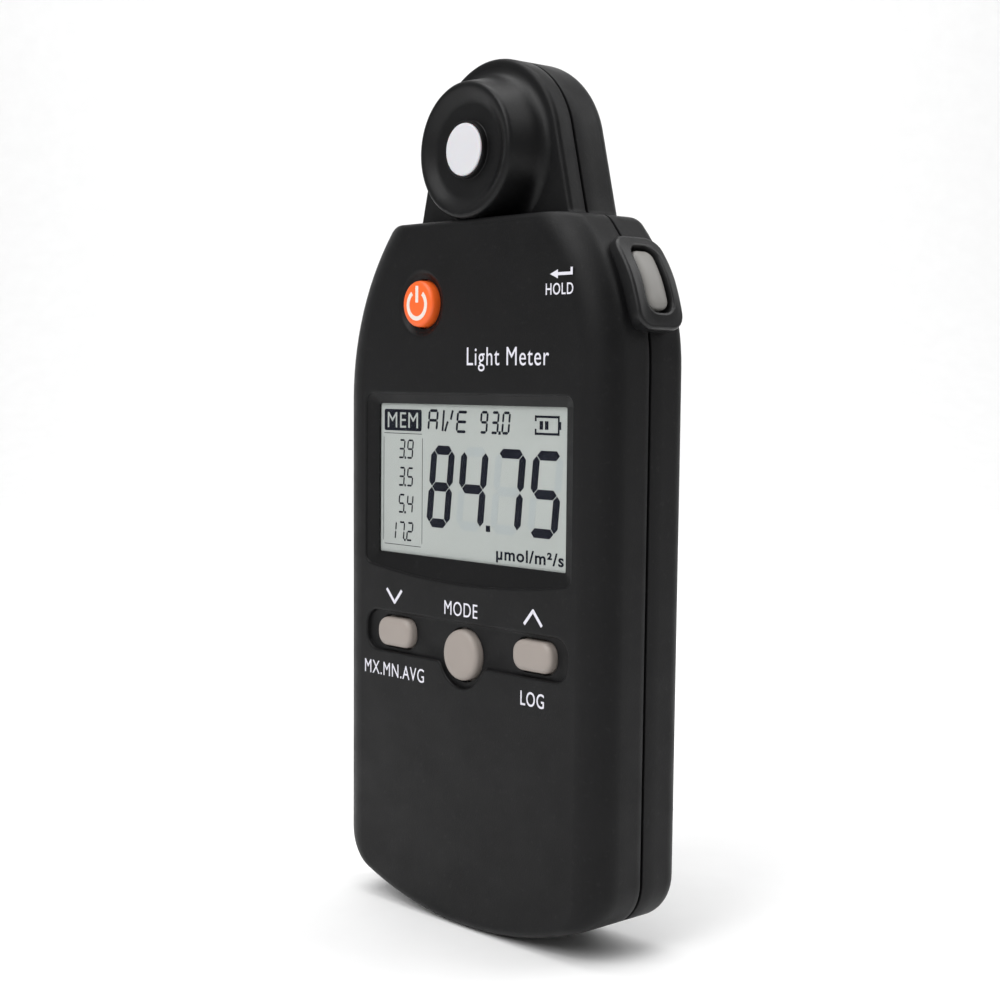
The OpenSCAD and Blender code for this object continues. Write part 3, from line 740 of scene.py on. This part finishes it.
def side_key():
    pod = Shape()
    rows = [side_ring(POD_D, POD_A, g, POD_CORNER, r) for g, r in
            ((-0.1, RIGHT_R - 0.9), (0.1, RIGHT_R - 0.2), (0.02, RIGHT_R + 0.25))]
    rows += [side_ring(POD_D, POD_A, g, POD_CORNER, pod_surface(drop)) for g, drop in
             ((0.0, 0.6), (-0.04, 0.38), (-0.15, 0.17), (-0.33, 0.04), (-0.55, 0), (-0.75, 0))]
    rows += [side_ring(OPENING_D, OPENING_A, g, WINDOW_CORNER, pod_surface(drop)) for g, drop in
             ((0.7, 0), (0.5, -0.06), (0.3, -0.05), (0.1, 0.05), (0.0, 0.25))]
    rows += [side_ring(OPENING_D, OPENING_A, 0, WINDOW_CORNER, r) for r in (33.4, RIGHT_R - WALL)]
    pod.loft(rows + [side_ring(POD_D, POD_A, -1.2, POD_CORNER, RIGHT_R - WALL),
                     side_ring(POD_D, POD_A, -0.1, POD_CORNER, RIGHT_R - 0.9)])
    pod.build("side_key_frame", [POD], "housing", "hold_bezel", record_slot="case_plastic")
    key = Shape()
    depths = (OPENING_D[0] + SIDE_GAP, OPENING_D[1] - SIDE_GAP)
    gap = degrees(SIDE_GAP / POD_OUT)
    angles = (OPENING_A[0] + gap, OPENING_A[1] - gap)
    rows = [side_ring(depths, angles, g, CAP_CORNER, pod_surface(CAP_DROP + drop)) for g, drop in
            ((-2.1, 0), (-1.2, 0.03), (-0.6, 0.13), (-0.25, 0.34), (-0.06, 0.65), (0, 1.1))]
    rows += [side_ring(depths, angles, 0, CAP_CORNER, r)
             for r in (RIGHT_R - WALL - 0.12, PLUNGER_R)]
    key.loft(rows)
    for ring in (rows[0], rows[-1]):
        fan(key, ring)
    key.build("hold_cap", [SIDE_KEY], "hold_key", "hold_button", record_slot="side_key_grey")


def fan(shape, ring):
    """Closes a narrow ring that lies on a curved face, across its width."""
    count = len(ring)
    order = [ring[(i - 2) % count] for i in range(count)]
    for i in range(count // 2):
        a, b = order[i], order[i + 1]
        c, d = order[count - i - 1], order[(count - i) % count]
        shape.face([p for n, p in enumerate((a, b, c, d)) if p not in (a, b, c, d)[:n]])


# ---- Display ----

def display_window():
    shape = Shape()
    back = extent("display_window")[1][1]

    def pane(inset):
        return belly(GLASS_HALF - inset, GLASS_LOW + inset, GLASS_HIGH - inset, 0.02, 0.3)

    rows = [(0.08, GLASS_D + 0.02), (0.03, GLASS_D + 0.04), (0.02, GLASS_D + 0.1), (0.02, back)]
    shape.loft(steps_of(pane, rows))
    shape.cap(GLASS_D + 0.02, pane(0.08))
    shape.cap(back, pane(0.02))
    shape.build("display_lens", [WINDOW], "housing", "display_window",
                record_slot="window_clear")


SEGMENTS = {"0": "abcdef", "1": "bc", "2": "abdeg", "3": "abcdg", "4": "bcfg", "5": "acdfg",
            "7": "abc", "8": "abcdefg", "9": "abcdfg", "A": "abcefg", "E": "adefg"}
SLANT = tan(radians(6))


def segment(name, w, h, bar, clear):
    """One bar of a seven-segment digit with pointed ends, in a box of w by h. Clear is the gap
    left at each end."""
    half = bar / 2
    mid = h / 2
    ends = {"a": ((0, h), (w, h)), "b": ((w, h), (w, mid)), "c": ((w, mid), (w, 0)),
            "d": ((0, 0), (w, 0)), "e": ((0, mid), (0, 0)), "f": ((0, h), (0, mid)),
            "g": ((0, mid), (w, mid))}[name]
    points = []
    (x0, y0), (x1, y1) = ends
    x0, x1 = (half if x0 == 0 else w - half), (half if x1 == 0 else w - half)
    y0, y1 = [min(max(y, half), h - half) for y in (y0, y1)]
    length = hypot(x1 - x0, y1 - y0)
    ux, uy = (x1 - x0) / length, (y1 - y0) / length
    for s, t in ((clear, 0), (clear + half, half), (length - clear - half, half),
                 (length - clear, 0), (length - clear - half, -half), (clear + half, -half)):
        points.append((x0 + ux * s - uy * t, y0 + uy * s + ux * t))
    return points


def print_flat(shape, outline, face, thick, slot):
    """A flat patch that stands a hair proud of a face that looks to the front."""
    shape.loft([level(outline, face), level(outline, face - thick)], slot)
    shape.cap(face - thick, outline, slot=slot)
    shape.cap(face, outline, slot=slot)


def stroke(start, end, width):
    """A straight line of a width, with square ends, as an outline."""
    dx, dy = end[0] - start[0], end[1] - start[1]
    length = hypot(dx, dy)
    nx, ny = -dy / length * width / 2, dx / length * width / 2
    return [(start[0] + nx, start[1] + ny), (start[0] - nx, start[1] - ny),
            (end[0] - nx, end[1] - ny), (end[0] + nx, end[1] + ny)]


def letters(shape, text, left, right, low, high, face, thick, slot, weight=0.0, tails=False):
    """Flat lettering fitted to a box, in Blender's own plain font. The box takes in the tails of
    letters such as p only if told to. Weight thickens the strokes, and stays 0 where a letter
    has a sharp inner corner, such as M."""
    curve = bpy.data.curves.new("lettering", "FONT")
    curve.body = text
    curve.offset = weight
    curve.resolution_u = 5
    curve.space_character = 1.1
    holder = bpy.data.objects.new("lettering", curve)
    bpy.context.scene.collection.objects.link(holder)
    bpy.context.view_layer.update()
    flat = holder.to_mesh()
    xs = [v.co.x for v in flat.vertices]
    ys = [v.co.y for v in flat.vertices]
    top, bottom = max(ys), min(ys) if tails else 0

    def put(v, depth):
        x = left + (v.co.x - min(xs)) / (max(xs) - min(xs)) * (right - left)
        h = low + (v.co.y - bottom) / (top - bottom) * (high - low)
        return (x, depth, h)

    edge_use = {}
    for polygon in flat.polygons:
        corners = [flat.vertices[i] for i in polygon.vertices]
        shape.face([put(v, face - thick) for v in corners], slot)
        shape.face([put(v, face) for v in reversed(corners)], slot)
        for key in polygon.edge_keys:
            edge_use[key] = edge_use.get(key, 0) + 1
    for (i, j), used in edge_use.items():
        if used == 1:
            a, b = flat.vertices[i], flat.vertices[j]
            shape.face([put(a, face), put(b, face), put(b, face - thick), put(a, face - thick)],
                       slot)
    holder.to_mesh_clear()
    bpy.data.objects.remove(holder)
    bpy.data.curves.remove(curve)


LCD_D = extent("display_panel")[0][1]


def display_panel():
    """The display's glass with its segments on it, a hair proud."""
    shape = Shape()
    dark, ghost = 1, 2
    thick = 0.02
    face = LCD_D + thick
    low, high = extent("display_panel")
    centre = (0, (low[2] + high[2]) / 2)
    half_w, half_h = high[0], (high[2] - low[2]) / 2
    outline = round_rect(half_w, half_h, 0.3, centre, 3)
    inner = round_rect(half_w - 0.05, half_h - 0.05, 0.25, centre, 3)
    shape.loft([level(inner, face), level(outline, face + 0.05), level(outline, high[1])])
    shape.cap(face, inner)
    shape.cap(high[1], outline)

    def mark(outline):
        print_flat(shape, outline, face, thick, dark)

    def lines(width, *ends):
        for x0, h0, x1, h1 in ends:
            mark(stroke((x0, h0), (x1, h1), width))

    def digit(text, left, bottom, w, h, bar, clear=0.05, ghosts=False):
        for name in "abcdefg":
            points = [(left + x + SLANT * y, bottom + y)
                      for x, y in segment(name, w, h, bar, clear)]
            if name in SEGMENTS[text]:
                mark(points)
            elif ghosts:
                print_flat(shape, points, face, thick / 2, ghost)

    def number(text, right, bottom, w, h, bar, pitch):
        """A row of digits that ends at the right; a point hangs between two digits."""
        x = right
        for sign in reversed(text):
            if sign == ".":
                spot = (x + (pitch - w) / 2, bottom + bar / 2)
                mark(round_rect(bar * 0.65, bar * 0.65, 0.04, spot, 1))
            else:
                digit(sign, x - w, bottom, w, h, bar)
                x -= pitch

    # The reading
    for text, left, width in (("8", -10.6, 5.8), ("4", -3.25, 6.5), ("7", 4.9, 6.9),
                              ("5", 13.35, 6.6)):
        digit(text, left, 64.25, width, 13.4, 1.48, 0.1, True)
    mark(round_rect(0.5, 0.5, 0.08, (4.5, 64.9), 2))
    letters(shape, "µmol/m²/s", 6.45, 21.5, 59.75, 62.2, face, thick, dark, 0.022, True)
    # The list of stored readings, its rules, and the memory badge over it
    for text, bottom in (("3.9", 75.2), ("3.5", 70.6), ("5.4", 66.1), ("17.2", 61.5)):
        number(text, -14.1, bottom, 1.6, 3.2, 0.31, 2.15)
    lines(0.1, (-21.5, 79.35, -11.8, 79.35), (-21.6, 78.7, -21.6, 61.3),
          (-11.6, 78.7, -11.6, 61.3), (-21.3, 60.75, -11.9, 60.75))
    mark(round_rect(4.8, 1.78, 0.35, (-16.65, 81.58), 4))
    letters(shape, "MEM", -20.6, -12.75, 80.3, 82.85, face - thick, 0.01, 0)
    # The average over the reading, with its name's middle letter in three strokes
    number("93.0", 9.2, 79.85, 1.85, 3.6, 0.42, 2.55)
    digit("A", -10.4, 79.9, 2.5, 3.6, 0.46)
    lines(0.44, (-6.6, 80.0, -6.25, 83.4), (-6.0, 80.0, -5.3, 81.6), (-4.6, 81.9, -4.1, 83.4))
    digit("E", -3.4, 79.8, 2.7, 3.6, 0.46)
    # The battery sign
    lines(0.36, (15.0, 80.2, 20.2, 80.2), (15.0, 82.8, 20.2, 82.8), (15.1, 80.0, 15.1, 80.95),
          (15.1, 82.1, 15.1, 83.0), (20.1, 80.0, 20.1, 83.0), (20.45, 80.9, 20.45, 82.1))
    lines(0.75, (16.35, 80.85, 16.35, 82.15), (17.5, 80.85, 17.5, 82.15))
    shape.build("display_face", [PANEL, SEGMENT, GHOST], "housing", "display_panel",
                record_slot="display_glass")


# ---- Printed marks ----

def printed_marks():
    shape = Shape()
    thick = 0.02
    for text, left, right, low, high, weight in (
            ("HOLD", 18.55, 24.35, 101.1, 102.8, 0.008), ("MODE", -4.1, 3.86, 50.62, 52.88, 0),
            ("MX.MN.AVG", -24.6, -9.1, 38.65, 40.9, 0), ("LOG", 13.9, 19.1, 38.45, 40.68, 0.006),
            ("Light Meter", 0.9, 19.4, 90.6, 93.4, 0)):
        letters(shape, text, left, right, low, high, 0, thick, 0, weight)
    # Chevrons, each with a round dot over the point where its two strokes meet
    for points in (((-18.8, 53.4), (-16.75, 51.2), (-14.9, 53.35)),
                   ((14.55, 51.0), (16.5, 53.25), (18.45, 51.0))):
        for a, b in zip(points, points[1:]):
            print_flat(shape, stroke(a, b, 0.5), 0, thick, 0)
        print_flat(shape, circle(points[1], 0.25, 16), 0, thick * 1.1, 0)
    # Hooked arrow over the hold label
    arrow = [(19.45, 104.15), (21.1, 104.8), (21.1, 104.37), (23.75, 104.37), (23.75, 105.05),
             (24.2, 105.05), (24.2, 103.92), (21.1, 103.92), (21.1, 103.45)]
    print_flat(shape, arrow, 0, thick, 0)
    shape.build("printed_marks", [PRINT], "housing")


# ---- Parts that keep their CAD shape ----

def carried_over():
    looks = {
        "circuit_board": material("circuit_board", (0.03, 0.16, 0.07), 0.35, grain=0.01,
                                  mottle=0.2, dust=0.05),
        "filter_glass": material("filter_glass", (0.25, 0.5, 0.5), 0.08, grain=0.001,
                                 mottle=0.04),
        "metal_can": material("metal_can", (0.6, 0.58, 0.52), 0.3, 1.0, grain=0.004, mottle=0.1),
        "ribbon": material("ribbon", (0.6, 0.6, 0.6), 0.5, grain=0.006, mottle=0.1),
        "white_plastic": material("white_plastic", (0.8, 0.8, 0.78), 0.45, grain=0.006,
                                  mottle=0.04, dust=0.03),
        "pink_rubber": material("pink_rubber", (0.7, 0.25, 0.33), 0.6, grain=0.01, mottle=0.1),
        "cell_sleeve": material("cell_sleeve", (0.03, 0.09, 0.3), 0.28, grain=0.004,
                                grain_size=2, mottle=0.15, dust=0.05),
        "plated_metal": material("plated_metal", (0.75, 0.62, 0.3), 0.25, 1.0, grain=0.006,
                                 mottle=0.12),
        "spring_steel": material("spring_steel", (0.55, 0.55, 0.56), 0.3, 1.0, grain=0.004,
                                 mottle=0.12),
        "lead_red": material("lead_red", (0.5, 0.02, 0.02), 0.45, grain=0.006, mottle=0.1),
        "screw_steel": material("screw_steel", (0.42, 0.42, 0.43), 0.35, 1.0, grain=0.006,
                                mottle=0.2, dust=0.06),
        "black_plastic": BLACK,
    }
    slots = {s["node"]: s["material_slot"] for s in frame["record"]["subparts"]}
    for name, node in frame["nodes"].items():
        if node.hide_render:
            continue
        node.data.materials.clear()
        node.data.materials.append(looks.get(slots[name], BLACK))


# ---- Studio ----

CAMERA_YAW, CAMERA_PITCH, CAMERA_ROLL = 47.19, 3.93, 0.51
CAMERA_DISTANCE = 267.47 * MM
CAMERA_AIM = place((8.87, 0, 69.76))
LENS = 62.09


def camera():
    yaw, pitch, roll = radians(CAMERA_YAW), radians(CAMERA_PITCH), radians(CAMERA_ROLL)
    forward = Vector((-sin(yaw) * cos(pitch), cos(yaw) * cos(pitch), -sin(pitch)))
    right = Vector((cos(yaw), sin(yaw), 0))
    up = right.cross(forward)
    right, up = right * cos(roll) + up * sin(roll), up * cos(roll) - right * sin(roll)
    lens = bpy.data.cameras.new("camera")
    lens.lens = LENS
    lens.sensor_width = 36
    lens.clip_start = 0.01
    eye = bpy.data.objects.new("camera", lens)
    eye.matrix_world = Matrix((right, up, -forward)).transposed().to_4x4()
    eye.location = CAMERA_AIM - forward * CAMERA_DISTANCE
    bpy.context.scene.collection.objects.link(eye)
    bpy.context.scene.camera = eye


def studio():
    reach, rise, bend = 1.4, 1.6, 0.5
    profile = [(-2.0, 0.0), (reach - bend, 0.0)]
    profile += [(reach - bend + bend * sin(radians(a)), bend * (1 - cos(radians(a))))
                for a in range(6, 91, 6)] + [(reach, rise)]
    mesh = bpy.data.meshes.new("backdrop")
    width = 2.4
    points = [(x, y, z) for y, z in profile for x in (-width, width)]
    faces = [(2 * i, 2 * i + 1, 2 * i + 3, 2 * i + 2) for i in range(len(profile) - 1)]
    mesh.from_pydata(points, [], faces)
    mesh.shade_smooth()
    mesh.materials.append(material("backdrop", (0.9, 0.9, 0.9), 0.9, grain=0.05, grain_size=4,
                                   mottle=0.01))
    floor = bpy.data.objects.new("backdrop", mesh)
    floor.matrix_world = Matrix.Translation((0, 0, BASE)) @ Matrix.Rotation(
        radians(CAMERA_YAW), 4, "Z")
    bpy.context.scene.collection.objects.link(floor)
    world = bpy.data.worlds.new("studio")
    world.use_nodes = True
    sky = world.node_tree.nodes["Background"]
    sky.inputs["Color"].default_value = (1, 1, 1, 1)
    sky.inputs["Strength"].default_value = 0.28
    bpy.context.scene.world = world
    bpy.context.scene.view_settings.view_transform = "Standard"
    subject = place((0, DEPTH / 2, 75))
    wall = Vector((-sin(radians(CAMERA_YAW)), cos(radians(CAMERA_YAW)), 0)) * reach
    for name, azimuth, height, distance, size, power, target in (
            ("front", 0, 0.75, 0.8, 0.7, 5.5, subject),
            ("right_back", 140, 0.75, 0.8, 0.6, 3.0, subject),
            ("above", 20, 1.2, 0.4, 1.0, 7.0, subject),
            ("behind", CAMERA_YAW - 180, 1.1, 0.35, 1.0, 9.0, wall)):
        lamp = bpy.data.lights.new(name, "AREA")
        lamp.shape = "SQUARE"
        lamp.size = size
        lamp.energy = power
        holder = bpy.data.objects.new(name, lamp)
        a = radians(azimuth)
        holder.location = (sin(a) * distance, -cos(a) * distance, BASE + height)
        aim = target - holder.location
        holder.rotation_euler = aim.to_track_quat("-Z", "Y").to_euler()
        bpy.context.scene.collection.objects.link(holder)


front_shell()
rear_shell()
battery_door()
sensor()
keys()
side_key()
display_window()
display_panel()
printed_marks()
carried_over()
camera()
studio()
